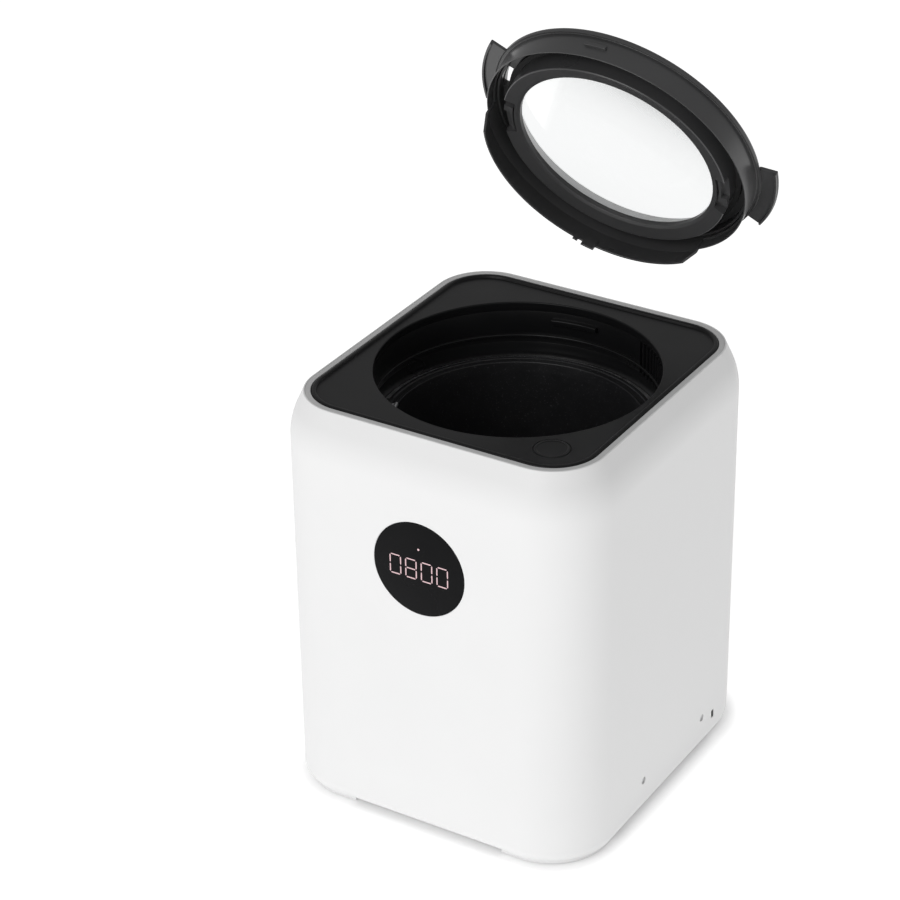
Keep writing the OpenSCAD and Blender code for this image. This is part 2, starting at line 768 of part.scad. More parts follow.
arm_at = [0, 180];
module lid_cover() color(black) swing() difference() {
    union() {
        rotate_extrude() polygon([[window_r, edge_z], [window_r + 2.3, step_z], [plug_r - 0.8, plug_z],
            [plug_r, plug_z + 0.8], [plug_r, 338.2], [guide_r - 2, 338.2], [guide_r - 2, 331],
            [guide_r, 331], [guide_r, 340.9], [104.4, 340.9], [104.4, ring_top - 0.4],
            [103.6, ring_top], [bezel_r + 1.2, ring_top], [bezel_r + 0.2, ring_top - 1],
            [bezel_r + 0.2, glass_z], [window_r, glass_z]]);
        for (a = [215, 270, 325]) {
            ring_sector(guide_r - 1.7, guide_r - 0.2, 327.6, 333, a - 3, a + 3);
            ring_sector(guide_r - 1.4, guide_r + 1.4, 327.2, 328.1, a - 2.6, a + 2.6);
        }
    }
    for (a = arm_at) ring_sector(83, 94, 310, glass_z - 1.2, a - 12, a + 12);
    bezel_holes(1.2, bezel_r - 1, screw_head_r + 0.3);
    bezel_holes(1.7, screw_head_r, plug_r + 2);
}

// Radial holes for the bezel's screws, at the height of the groove that the seal fills
screw_z = 336.4;
screw_head_r = bezel_r + 0.8;
module bezel_holes(r, from, to) {
    for (i = [0:5]) rotate(30 + 60 * i) translate([0, 0, screw_z]) rotate([0, 90, 0]) rod(r, from, to);
}

module window_glass() color([0.9, 0.95, 0.95, 0.3]) swing() rod(84, glass_z, glass_z + 3);

module window_bezel() color(white) swing() difference() {
    rotate_extrude() polygon([[80.5, glass_z + 3], [84.2, glass_z + 3], [84.2, glass_z], [bezel_r, glass_z],
        [bezel_r, 339.9], [bezel_r - 1.5, 341], [bezel_r - 2.9, 341], [81.4, glass_z + 5]]);
    bezel_holes(1.1, bezel_r - 3.5, bezel_r + 1);
}

// Screws that hold the bezel, driven from the seal's groove and hidden behind the seal
module bezel_screws() color(steel) swing() {
    bezel_holes(1.1, bezel_r - 3.3, screw_head_r);
    bezel_holes(1.6, screw_head_r, plug_r - 0.3);
}

module lid_seal() color(dark) swing() tube(plug_r + 3.9, plug_r, 334.6, 338.2);

// Sprung arms that click the lock ring at both ends of its turn
module detent_arms() color(dark) swing() for (a = arm_at) {
    ring_sector(84.5, 86.5, step_z + 0.2, glass_z - 1.2, a - 11.4, a + 6);
    ring_sector(86, 91.5, step_z + 0.2, glass_z - 1.2, a + 2, a + 6);
}

// Part of a turned profile between two angles
module turned_sector(a0, a1, points) {
    rotate(a0) rotate_extrude(angle = a1 - a0) polygon(points);
}

// The ring's flange stands on the deck, its skirt goes down into the collar, and over part of the turn the
// skirt goes on as a deep lip that leans inwards, with a tongue and a small tab on its edge
ear_at = [8.5, 186];
tall_a = [48.5, 178];
skirt_z = 320;
skirt_r = 106;
lip_z = 299.5;
module lock_ring() color(black) swing() {
    rotate_extrude() polygon(concat([[guide_r + 0.06, 328.5], [104.9, 328.5], [104.9, skirt_z + 0.3],
        [105.2, skirt_z], [skirt_r - 0.3, skirt_z], [skirt_r, skirt_z + 0.4], [skirt_r, 339.1],
        [ring_r - 0.6, 339.1]],
        shifted(arc_points(3.6, 0, 75, 5), [ring_r - 3.6, 339.8]),
        [[104.8, ring_top], [104.8, 340.5], [guide_r + 0.06, 340.5]]));
    turned_sector(tall_a[0], tall_a[1], [[103.6, 330], [103.6, 316.5], [97, lip_z], [98.8, lip_z],
        [105.3, 316], [105.3, 330]]);
    turned_sector(94.7, 101, [[99.2, lip_z + 7], [94.8, lip_z - 4.5], [96.6, lip_z - 4.5], [101, lip_z + 7]]);
    turned_sector(103.2, 105.6, [[98.1, lip_z + 4], [95.4, lip_z - 3], [97, lip_z - 3], [99.9, lip_z + 4]]);
    ring_sector(104.5, 108.2, 316.5, 320.6, 75.5, 84.5);
    ring_sector(104.5, 108.2, 329, 332, 255.5, 264.5);
    for (a = ear_at) {
        ring_sector(ring_r - 2, 121.5, 342.6, 345, a - 17, a + 17);
        ring_sector(119.2, 121, 341, 344, a - 16.6, a + 16.6);
        ring_sector(ring_r - 1.4, ring_r - 0.3, 341, 344, a - 16.6, a + 16.6);
    }
}

outer_shell();
trim_ring();
deck_plate();
collar();
well_liner();
heater_plate();
heater_band();
insulation_wrap();
base_plate();
feet();
foot_pads();
base_screws();
shell_screws();
chassis_plate();
chassis_posts();
gearbox_case();
gearbox_cover();
output_bearings();
drive_seal();
idler_pin();
drive_motor();
blower_housing();
blower_motor();
air_duct();
filter_bay();
power_inlet();
control_board();
display_lens();
display_frame();
display_board();
display_digits();
button_switch();
lid_switch();
side_port();
bucket();
bucket_hub();
breaker_bars();
hub_seal();
bail_handle();
bail_grip();
blade_shaft();
stir_blade();
blade_cap();
output_shaft();
output_gear();
drive_coupler();
idler_gear();
motor_shaft();
motor_pinion();
fan_rotor();
button_cap();
filter_drawer();
carbon_pad();
lid_cover();
window_glass();
window_bezel();
bezel_screws();
lid_seal();
detent_arms();
lock_ring();
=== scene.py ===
"""Looks of the electric food waste composter, dressed over its packed construction model."""

import json
import math

import bmesh
import bpy
from bpy.props import FloatProperty, FloatVectorProperty, IntProperty, PointerProperty
from mathutils import Matrix, Vector


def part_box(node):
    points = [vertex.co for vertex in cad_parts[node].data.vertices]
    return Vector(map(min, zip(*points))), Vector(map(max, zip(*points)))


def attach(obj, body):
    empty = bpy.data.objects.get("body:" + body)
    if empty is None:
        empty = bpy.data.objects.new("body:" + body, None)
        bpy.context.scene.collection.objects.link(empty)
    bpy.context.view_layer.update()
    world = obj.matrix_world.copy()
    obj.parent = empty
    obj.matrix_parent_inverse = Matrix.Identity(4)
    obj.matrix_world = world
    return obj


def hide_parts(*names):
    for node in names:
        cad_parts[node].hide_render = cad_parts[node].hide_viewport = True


bl_info = {
    "name": "Food Waste Composter",
    "version": (1, 0, 0),
    "blender": (4, 5, 0),
    "location": "3D View > Sidebar > Composter",
    "description": "Builds the visible pieces and finishes of a counter-top food waste composter",
    "category": "Object",
}

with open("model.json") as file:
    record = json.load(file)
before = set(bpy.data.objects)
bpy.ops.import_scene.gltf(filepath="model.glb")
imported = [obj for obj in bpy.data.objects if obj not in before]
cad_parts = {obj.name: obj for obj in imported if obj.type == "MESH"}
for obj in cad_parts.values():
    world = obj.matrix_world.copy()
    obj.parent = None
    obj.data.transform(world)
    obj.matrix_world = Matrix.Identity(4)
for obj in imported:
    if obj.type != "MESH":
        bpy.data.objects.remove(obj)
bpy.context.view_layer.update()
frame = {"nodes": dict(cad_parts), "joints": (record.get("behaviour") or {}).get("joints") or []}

MM = 0.001


def span(node):
    """The node's lowest and highest corners, in millimetres."""
    low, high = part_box(node)
    return low / MM, high / MM


# Driving sizes, in millimetres, read from the construction model
SHELL_LOW, SHELL_HIGH = span("outer_shell")
BODY_W = SHELL_HIGH.x - SHELL_LOW.x
BODY_D = SHELL_HIGH.y - SHELL_LOW.y
RIM_Z = SHELL_HIGH.z
FOOT_H = SHELL_LOW.z
FRONT_Y = SHELL_LOW.y
BACK_Y = SHELL_HIGH.y
BUTTON_LOW, BUTTON_HIGH = span("button_cap")
BUTTON_AT = ((BUTTON_LOW.x + BUTTON_HIGH.x) / 2, (BUTTON_LOW.y + BUTTON_HIGH.y) / 2)
BUTTON_R = (BUTTON_HIGH.x - BUTTON_LOW.x) / 2
LENS_LOW, LENS_HIGH = span("display_lens")
LENS_R = (LENS_HIGH.x - LENS_LOW.x) / 2
LENS_Z = (LENS_HIGH.z + LENS_LOW.z) / 2
COLLAR_FOOT = span("collar")[0].z
LINER_TOP = span("well_liner")[1].z
BUCKET_Z = span("bucket")[0].z

# Sizes of the housing that are the same in the construction model, in millimetres
CORNER_R = 53.0
CORNER_X = BODY_W / 2 - CORNER_R
CORNER_Y = BODY_D / 2 - CORNER_R
WALL = 2.6
DECK_Z = RIM_Z - 1.5
DECK_LOW = RIM_Z - 4.5
LEDGE_Z = RIM_Z - 8
LEDGE_TOP = LEDGE_Z + 3
OPENING_R = 108.6

# Section of the top edge, in millimetres outwards from the corners' centres
RIM_OUT = 42.2
RIM_IN = 41.0
LEDGE_IN = 37.5
TRIM_OUT = 40.9
TRIM_IN = 36.6
TRIM_FOOT_IN = 33.0
LIP_OUT = 36.1
LIP_IN = 31.6
GROOVE_IN = 31.4
DECK_FLAT = 30.6

# Sizes of the lid in its seat, in millimetres
RING_TOP = 343.4
GUIDE_R = 103.24
GUIDE_FOOT_Z = 331.0
GUIDE_TOP_Z = 340.9
GROOVE_Z = 338.2
PLUG_Z = 317.5
STEP_Z = 319.8
EDGE_Z = 321.2
GLASS_Z = 325.0
GLASS_TOP = GLASS_Z + 3
PLUG_R = 91.7
BEZEL_R = 89.1
WINDOW_R = 79.0


def joint(name):
    """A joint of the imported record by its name."""
    return next(j for j in frame["joints"] if j["name"] == name)


def lid_matrix():
    """Carries the seated lid to the pose in which it is shown."""
    swing = joint("lid_swing")
    at = Vector(swing["pos_m"])
    turn = Matrix.Rotation(math.radians(-swing["range_deg"][0]), 4, Vector(swing["axis"]))
    return Matrix.Translation(at) @ turn @ Matrix.Translation(-at)


LID = lid_matrix()


# Settings a user can change


class ComposterSizes(bpy.types.PropertyGroup):
    """Sizes of details that the construction model leaves to the looks."""

    shoulder_slope: FloatProperty(
        name="Shoulder slope",
        description="Slope of the shoulder below the top rim, measured from the upright",
        default=math.radians(24),
        unit="ROTATION",
    )
    shoulder_radius: FloatProperty(
        name="Shoulder radius",
        description="Radius that blends the walls into the shoulder",
        default=60 * MM,
        unit="LENGTH",
    )
    corner_steps: IntProperty(
        name="Corner steps",
        description="Faces round each upright corner",
        default=28,
        min=8,
    )
    round_steps: IntProperty(
        name="Round steps",
        description="Faces round each turned piece",
        default=180,
        min=48,
    )


class ComposterColours(bpy.types.PropertyGroup):
    """Colours of the main finishes."""

    shell: FloatVectorProperty(
        name="Shell",
        description="White of the housing",
        default=(0.80, 0.80, 0.80),
        subtype="COLOR",
    )
    trim: FloatVectorProperty(
        name="Trim",
        description="Grey of the band round the deck",
        default=(0.55, 0.55, 0.55),
        subtype="COLOR",
    )
    deck: FloatVectorProperty(
        name="Deck",
        description="Black of the deck and the button",
        default=(0.007, 0.007, 0.0075),
        subtype="COLOR",
    )
    lid: FloatVectorProperty(
        name="Lid",
        description="Black of the lid's mouldings",
        default=(0.045, 0.045, 0.046),
        subtype="COLOR",
    )
    digits: FloatVectorProperty(
        name="Digits",
        description="Colour of the lit digits",
        default=(0.62, 0.43, 0.45),
        subtype="COLOR",
    )


def sizes():
    """The user's sizes of this scene."""
    return bpy.context.scene.composter_sizes


def colours():
    """The user's colours of this scene."""
    return bpy.context.scene.composter_colours


# Outlines

# Radius, in millimetres, that stands for a turned piece's axis
CENTRE_R = 0.01


def arc(centre, radius, start, end, steps):
    """Points of an arc in degrees, both ends included."""
    return [
        (
            centre[0] + radius * math.cos(math.radians(start + (end - start) * i / steps)),
            centre[1] + radius * math.sin(math.radians(start + (end - start) * i / steps)),
        )
        for i in range(steps + 1)
    ]


def filleted(points, steps=4):
    """A closed outline from (x, y, fillet radius) corners."""
    outline = []
    count = len(points)
    for i, (x, y, radius) in enumerate(points):
        here = Vector((x, y))
        if radius <= 0:
            outline.append((x, y))
            continue
        before = (Vector(points[i - 1][:2]) - here).normalized()
        after = (Vector(points[(i + 1) % count][:2]) - here).normalized()
        half = before.angle(after) / 2
        reach = radius / math.tan(half)
        centre = here + (before + after).normalized() * (radius / math.sin(half))
        first = here + before * reach - centre
        turn = first.angle_signed(here + after * reach - centre)
        for k in range(steps + 1):
            angle = turn * k / steps
            cos, sin = math.cos(angle), math.sin(angle)
            outline.append(
                (centre.x + first.x * cos + first.y * sin, centre.y - first.x * sin + first.y * cos)
            )
    return outline


def housing_path(corner_steps, wall_steps=1):
    """(corner centre, direction) all round the housing, anticlockwise from the right wall's back end."""
    corners = [
        (CORNER_X, CORNER_Y),
        (-CORNER_X, CORNER_Y),
        (-CORNER_X, -CORNER_Y),
        (CORNER_X, -CORNER_Y),
    ]
    path = []
    for k, corner in enumerate(corners):
        for i in range(corner_steps + 1):
            angle = math.radians(90 * (k + i / corner_steps))
            path.append((Vector(corner), Vector((math.cos(angle), math.sin(angle)))))
        following = corners[(k + 1) % 4]
        for i in range(1, wall_steps):
            path.append((Vector(corner).lerp(Vector(following), i / wall_steps), path[-1][1]))
    return path


# Meshes


def skin_loops(bm, loops, closed=True):
    """Quads between loops with the same count of points, and from the last loop to the first if closed."""
    rows = [[bm.verts.new(Vector(p) * MM) for p in loop] for loop in loops]
    count = len(rows[0])
    for r in range(len(rows) if closed else len(rows) - 1):
        a, b = rows[r], rows[(r + 1) % len(rows)]
        for c in range(count):
            d = (c + 1) % count
            bm.faces.new((a[c], a[d], b[d], b[c]))
    return rows


def sweep(bm, profile, corner_steps):
    """A closed profile (x from the corner centres, z) swept round the housing."""
    loops = []
    for centre, out in housing_path(corner_steps):
        loops.append([(centre.x + out.x * x, centre.y + out.y * x, z) for x, z in profile])
    skin_loops(bm, loops)


def revolve(bm, profile, steps, start=0.0, end=360.0):
    """A closed profile (radius, z) turned about +Z, whole or over part of a turn with flat ends."""
    whole = abs(end - start) >= 359.99
    count = steps if whole else max(2, math.ceil(steps * (end - start) / 360)) + 1
    loops = []
    for i in range(count):
        angle = math.radians(start + (end - start) * i / (count if whole else count - 1))
        loops.append([(r * math.cos(angle), r * math.sin(angle), z) for r, z in profile])
    rows = skin_loops(bm, loops, closed=whole)
    if not whole:
        bm.faces.new(rows[0])
        bm.faces.new(list(reversed(rows[-1])))


def prism(bm, outline, low, high, place=None):
    """An outline drawn up from low to high, then placed by a matrix in millimetres."""
    place = place or Matrix.Identity(4)
    bottom = [bm.verts.new((place @ Vector((x, y, low))) * MM) for x, y in outline]
    top = [bm.verts.new((place @ Vector((x, y, high))) * MM) for x, y in outline]
    bm.faces.new(list(reversed(bottom)))
    bm.faces.new(top)
    for i in range(len(outline)):
        j = (i + 1) % len(outline)
        bm.faces.new((bottom[i], bottom[j], top[j], top[i]))


def block(bm, low, high):
    """An upright box between two corners."""
    outline = [(low[0], low[1]), (high[0], low[1]), (high[0], high[1]), (low[0], high[1])]
    prism(bm, outline, low[2], high[2])


def disc_outline(radius, steps, at=(0.0, 0.0)):
    """A whole circle's points, the first one not repeated."""
    return arc(at, radius, 0, 360 * (steps - 1) / steps, steps - 1)


SHARP_DEG = 32.0


def tidy(bm):
    """Merged points, outward normals, smooth faces, and edges steeper than SHARP_DEG kept sharp."""
    bmesh.ops.remove_doubles(bm, verts=bm.verts, dist=1e-6)
    bmesh.ops.dissolve_degenerate(bm, edges=bm.edges, dist=1e-7)
    bmesh.ops.recalc_face_normals(bm, faces=bm.faces)
    for face in bm.faces:
        face.smooth = True
    for edge in bm.edges:
        if len(edge.link_faces) == 2:
            edge.smooth = edge.calc_face_angle(0.0) < math.radians(SHARP_DEG)


def piece(name, bm, finish, body, nodes, place=None):
    """Turns a mesh into a named piece that rides on a body and stands for nodes."""
    tidy(bm)
    mesh = bpy.data.meshes.new(name)
    bm.to_mesh(mesh)
    bm.free()
    mesh.materials.append(finish)
    obj = bpy.data.objects.new(name, mesh)
    bpy.context.scene.collection.objects.link(obj)
    if place is not None:
        mesh.transform(place)
    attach(obj, body)
    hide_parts(*nodes)
    return obj


def cut(obj, cutter_bm):
    """Cuts a mesh out of a piece and keeps its edges sharp."""
    bmesh.ops.recalc_face_normals(cutter_bm, faces=cutter_bm.faces)
    mesh = bpy.data.meshes.new("cutter")
    cutter_bm.to_mesh(mesh)
    cutter_bm.free()
    tool = bpy.data.objects.new("cutter", mesh)
    bpy.context.scene.collection.objects.link(tool)
    modifier = obj.modifiers.new("cut", "BOOLEAN")
    modifier.operation = "DIFFERENCE"
    modifier.solver = "EXACT"
    modifier.object = tool
    bpy.context.view_layer.update()
    graph = bpy.context.evaluated_depsgraph_get()
    result = bpy.data.meshes.new_from_object(obj.evaluated_get(graph))
    obj.modifiers.remove(modifier)
    bpy.data.objects.remove(tool)
    bpy.data.meshes.remove(mesh)
    old = obj.data
    name = old.name
    obj.data = result
    bpy.data.meshes.remove(old)
    result.name = name
    bm = bmesh.new()
    bm.from_mesh(result)
    tidy(bm)
    bm.to_mesh(result)
    bm.free()


def soften(obj, width):
    """Small rounded edges, of a width in millimetres."""
    modifier = obj.modifiers.new("edges", "BEVEL")
    modifier.width = width * MM
    modifier.segments = 2
    modifier.limit_method = "ANGLE"
    modifier.angle_limit = math.radians(40.0)
    modifier.harden_normals = False


def even_normals(obj):
    """Keeps big flat faces flat next to small rounded ones."""
    modifier = obj.modifiers.new("normals", "WEIGHTED_NORMAL")
    modifier.keep_sharp = True
    modifier.mode = "FACE_AREA"


# Materials


FINISHES = {}
NOISE_LOW, NOISE_HIGH = 0.3, 0.7


def new_material(name):
    """A finish by its name; the first call also gives the node tree and the shader to fill in."""
    if name in FINISHES:
        return FINISHES[name], None, None
    material = bpy.data.materials.new(f"{name}_finish")
    FINISHES[name] = material
    material.use_nodes = True
    return material, material.node_tree, material.node_tree.nodes["Principled BSDF"]


def noise(tree, scale, detail=3.0, stretch=None):
    """Noise in the object's own metres, stretched if asked."""
    coords = tree.nodes.new("ShaderNodeTexCoord")
    texture = tree.nodes.new("ShaderNodeTexNoise")
    texture.inputs["Scale"].default_value = scale
    texture.inputs["Detail"].default_value = detail
    source = coords.outputs["Object"]
    if stretch:
        mapping = tree.nodes.new("ShaderNodeMapping")
        mapping.inputs["Scale"].default_value = stretch
        tree.links.new(source, mapping.inputs["Vector"])
        source = mapping.outputs["Vector"]
    tree.links.new(source, texture.inputs["Vector"])
    return texture.outputs["Fac"]


def ranged(tree, value, low, high):
    """The noise's middle part, spread from low to high."""
    node = tree.nodes.new("ShaderNodeMapRange")
    node.inputs["From Min"].default_value = NOISE_LOW
    node.inputs["From Max"].default_value = NOISE_HIGH
    node.inputs["To Min"].default_value = low
    node.inputs["To Max"].default_value = high
    tree.links.new(value, node.inputs["Value"])
    return node.outputs["Result"]


def tinted(tree, value, colour, spread):
    """The colour, a little darker and lighter with the value."""
    ramp = tree.nodes.new("ShaderNodeValToRGB")
    ramp.color_ramp.elements[0].position = NOISE_LOW
    ramp.color_ramp.elements[1].position = NOISE_HIGH
    ramp.color_ramp.elements[0].color = [c * (1 - spread) for c in colour[:3]] + [1]
    ramp.color_ramp.elements[1].color = [min(1, c * (1 + spread)) for c in colour[:3]] + [1]
    tree.links.new(value, ramp.inputs["Fac"])
    return ramp.outputs["Color"]


def bumped(tree, shader, height, strength, distance):
    """Fine relief from a height value, with its distance in metres."""
    bump = tree.nodes.new("ShaderNodeBump")
    bump.inputs["Strength"].default_value = strength
    bump.inputs["Distance"].default_value = distance
    tree.links.new(height, bump.inputs["Height"])
    tree.links.new(bump.outputs["Normal"], shader.inputs["Normal"])


def moulded(name, colour, roughness, grain, depth, specular=0.5, spread=0.03):
    """Moulded plastic: a fine grain of the tool's surface and slight sheen changes."""
    material, tree, shader = new_material(name)
    if tree is None:
        return material
    patch = noise(tree, 18.0, 2.0)
    tree.links.new(tinted(tree, patch, colour, spread), shader.inputs["Base Color"])
    tree.links.new(ranged(tree, patch, roughness * 0.9, roughness * 1.1), shader.inputs["Roughness"])
    shader.inputs["Specular IOR Level"].default_value = specular
    bumped(tree, shader, noise(tree, grain, 4.0), 0.4, depth * MM)
    return material


def metal(name, colour, roughness, stretch):
    """Metal with fine lines drawn along one direction."""
    material, tree, shader = new_material(name)
    if tree is None:
        return material
    lines = noise(tree, 160.0, 6.0, stretch)
    tree.links.new(tinted(tree, lines, colour, 0.12), shader.inputs["Base Color"])
    tree.links.new(ranged(tree, lines, roughness * 0.75, roughness * 1.3), shader.inputs["Roughness"])
    shader.inputs["Metallic"].default_value = 1.0
    bumped(tree, shader, lines, 0.3, 0.02 * MM)
    return material


def shell_white():
    return moulded("shell_white", colours().shell, 0.42, 900.0, 0.010, specular=0.3, spread=0.006)


def trim_grey():
    return moulded("trim_grey", colours().trim, 0.42, 900.0, 0.010, spread=0.02)


def deck_black():
    return moulded("deck_black", colours().deck, 0.34, 2600.0, 0.012, specular=0.2, spread=0.08)


def lid_black():
    return moulded("lid_black", colours().lid, 0.3, 2200.0, 0.015, specular=0.5, spread=0.08)


def collar_black():
    return moulded("collar_black", (0.007, 0.007, 0.0075), 0.3, 1800.0, 0.012, specular=0.35, spread=0.1)


def inner_plastic():
    return moulded("inner_plastic", (0.03, 0.03, 0.032), 0.5, 1200.0, 0.02, spread=0.1)


def gear_nylon():
    return moulded("gear_nylon", (0.72, 0.69, 0.6), 0.45, 1200.0, 0.01)


def rubber():
    return moulded("rubber", (0.018, 0.018, 0.018), 0.75, 1500.0, 0.03, specular=0.3, spread=0.15)


def display_glass():
    material, tree, shader = new_material("display_glass")
    if tree is None:
        return material
    patch = noise(tree, 40.0, 2.0)
    tree.links.new(tinted(tree, patch, (0.0035, 0.0035, 0.004), 0.1), shader.inputs["Base Color"])
    tree.links.new(ranged(tree, patch, 0.07, 0.11), shader.inputs["Roughness"])
    shader.inputs["Specular IOR Level"].default_value = 0.08
    return material


def digit_light():
    material, tree, shader = new_material("digit_light")
    if tree is None:
        return material
    glow = noise(tree, 700.0, 2.0)
    colour = tinted(tree, glow, colours().digits, 0.08)
    tree.links.new(colour, shader.inputs["Emission Color"])
    tree.links.new(colour, shader.inputs["Base Color"])
    shader.inputs["Emission Strength"].default_value = 0.22
    shader.inputs["Roughness"].default_value = 0.3
    return material


def window_clear():
    material, tree, shader = new_material("window_glass")
    if tree is None:
        return material
    shader.inputs["Base Color"].default_value = (0.99, 1.0, 1.0, 1.0)
    shader.inputs["Transmission Weight"].default_value = 1.0
    shader.inputs["IOR"].default_value = 1.45
    tree.links.new(ranged(tree, noise(tree, 30.0, 2.0), 0.0, 0.015), shader.inputs["Roughness"])
    return material


def steel():
    return metal("steel", (0.56, 0.56, 0.57), 0.3, (1.0, 1.0, 0.08))


def brushed_blade():
    return metal("blade_steel", (0.5, 0.5, 0.51), 0.26, (0.2, 1.0, 1.0))


def aluminium():
    return metal("aluminium", (0.62, 0.62, 0.63), 0.38, (1.0, 1.0, 0.15))


def brass():
    return metal("brass", (0.66, 0.48, 0.18), 0.3, (1.0, 1.0, 0.2))


def bucket_coat():
    """Dark non-stick coating with pale flecks."""
    material, tree, shader = new_material("bucket_coat")
    if tree is None:
        return material
    fleck = noise(tree, 900.0, 1.0)
    ramp = tree.nodes.new("ShaderNodeValToRGB")
    ramp.color_ramp.elements[0].position = 0.66
    ramp.color_ramp.elements[1].position = 0.74
    ramp.color_ramp.elements[0].color = (0.012, 0.012, 0.013, 1)
    ramp.color_ramp.elements[1].color = (0.07, 0.07, 0.075, 1)
    tree.links.new(fleck, ramp.inputs["Fac"])
    tree.links.new(ramp.outputs["Color"], shader.inputs["Base Color"])
    tree.links.new(ranged(tree, noise(tree, 60.0), 0.3, 0.42), shader.inputs["Roughness"])
    bumped(tree, shader, noise(tree, 700.0, 3.0), 0.3, 0.02 * MM)
    return material


def motor_paint():
    return moulded("motor_paint", (0.05, 0.055, 0.065), 0.35, 700.0, 0.02, spread=0.1)


def board_green():
    return moulded("board_green", (0.01, 0.1, 0.035), 0.3, 400.0, 0.02, spread=0.2)


def mica():
    return moulded("mica", (0.4, 0.29, 0.16), 0.5, 220.0, 0.06, spread=0.25)


def felt():
    return moulded("felt", (0.55, 0.5, 0.36), 0.95, 500.0, 0.5, specular=0.1, spread=0.25)


def carbon():
    return moulded("carbon", (0.012, 0.012, 0.012), 0.9, 350.0, 0.9, specular=0.2, spread=0.4)


INNER_FINISHES = {
    "well_liner": aluminium,
    "heater_plate": aluminium,
    "heater_band": mica,
    "insulation_wrap": felt,
    "base_plate": steel,
    "base_screws": steel,
    "shell_screws": steel,
    "chassis_plate": steel,
    "chassis_posts": steel,
    "gearbox_case": aluminium,
    "gearbox_cover": aluminium,
    "output_bearings": steel,
    "drive_seal": rubber,
    "idler_pin": steel,
    "drive_motor": motor_paint,
    "blower_housing": inner_plastic,
    "blower_motor": motor_paint,
    "air_duct": inner_plastic,
    "filter_bay": inner_plastic,
    "control_board": board_green,
    "display_frame": inner_plastic,
    "display_board": board_green,
    "button_switch": inner_plastic,
    "lid_switch": inner_plastic,
    "side_port": collar_black,
    "breaker_bars": steel,
    "hub_seal": rubber,
    "bucket_hub": steel,
    "bail_handle": steel,
    "bail_grip": collar_black,
    "blade_shaft": steel,
    "stir_blade": brushed_blade,
    "blade_cap": brushed_blade,
    "output_shaft": steel,
    "output_gear": gear_nylon,
    "drive_coupler": steel,
    "idler_gear": gear_nylon,
    "motor_shaft": steel,
    "motor_pinion": brass,
    "fan_rotor": inner_plastic,
    "carbon_pad": carbon,
    "bezel_screws": steel,
    "lid_seal": rubber,
    "detent_arms": lid_black,
    "power_inlet": collar_black,
    "foot_pads": rubber,
    "filter_drawer": shell_white,
}

SOFTENED = {
    "stir_blade": 0.8,
    "blade_cap": 0.5,
    "breaker_bars": 0.8,
    "filter_drawer": 0.5,
    "power_inlet": 0.4,
    "foot_pads": 0.6,
    "side_port": 0.2,
    "shell_screws": 0.3,
    "base_screws": 0.3,
}


class Piece:
    """What the operators share: they run once on the loaded frame."""

    bl_options = {"REGISTER"}


class COMPOSTER_OT_housing(Piece, bpy.types.Operator):
    """Outer shell, the grey band round its top, and the feet"""

    bl_idname = "composter.housing"
    bl_label = "Housing"

    def execute(self, context):
        outer_shell()
        trim_ring()
        feet()
        return {"FINISHED"}


def shell_profile():
    """The shell's wall in section: drawn-in foot, upright wall, blend, sloped shoulder, inner side."""
    settings = sizes()
    slope = settings.shoulder_slope
    radius = settings.shoulder_radius / MM
    foot_in, foot_rise = 4, 8
    rim_round = 0.5
    blend_x = CORNER_R - radius
    slope_x = blend_x + radius * math.cos(slope)
    slope_z = RIM_Z - (slope_x - RIM_OUT) / math.tan(slope)
    blend_z = slope_z - radius * math.sin(slope)
    foot = []
    for degrees in range(0, 91, 9):
        angle = math.radians(degrees)
        out = CORNER_R - foot_in + foot_in * math.sin(angle)
        foot.append((out, FOOT_H + foot_rise - foot_rise * math.cos(angle)))
    shoulder = arc((blend_x, blend_z), radius, 0, math.degrees(slope), 16)
    rim = arc((RIM_OUT - rim_round, RIM_Z - rim_round), rim_round, 20, 90, 4)
    inside = [
        (RIM_IN, RIM_Z),
        (RIM_IN, LEDGE_Z),
        (LEDGE_IN, LEDGE_Z),
        (LEDGE_IN, LEDGE_Z - 2.5),
        (CORNER_R - WALL - 1.5, blend_z + 12),
        (CORNER_R - WALL, blend_z - 4),
        (CORNER_R - WALL, FOOT_H + 14),
        (CORNER_R - WALL - 0.6, FOOT_H + 4),
        (CORNER_R - 4, FOOT_H + WALL),
        (CORNER_R - 9, FOOT_H + WALL),
        (CORNER_R - 9, FOOT_H),
    ]
    return foot + shoulder + rim + inside


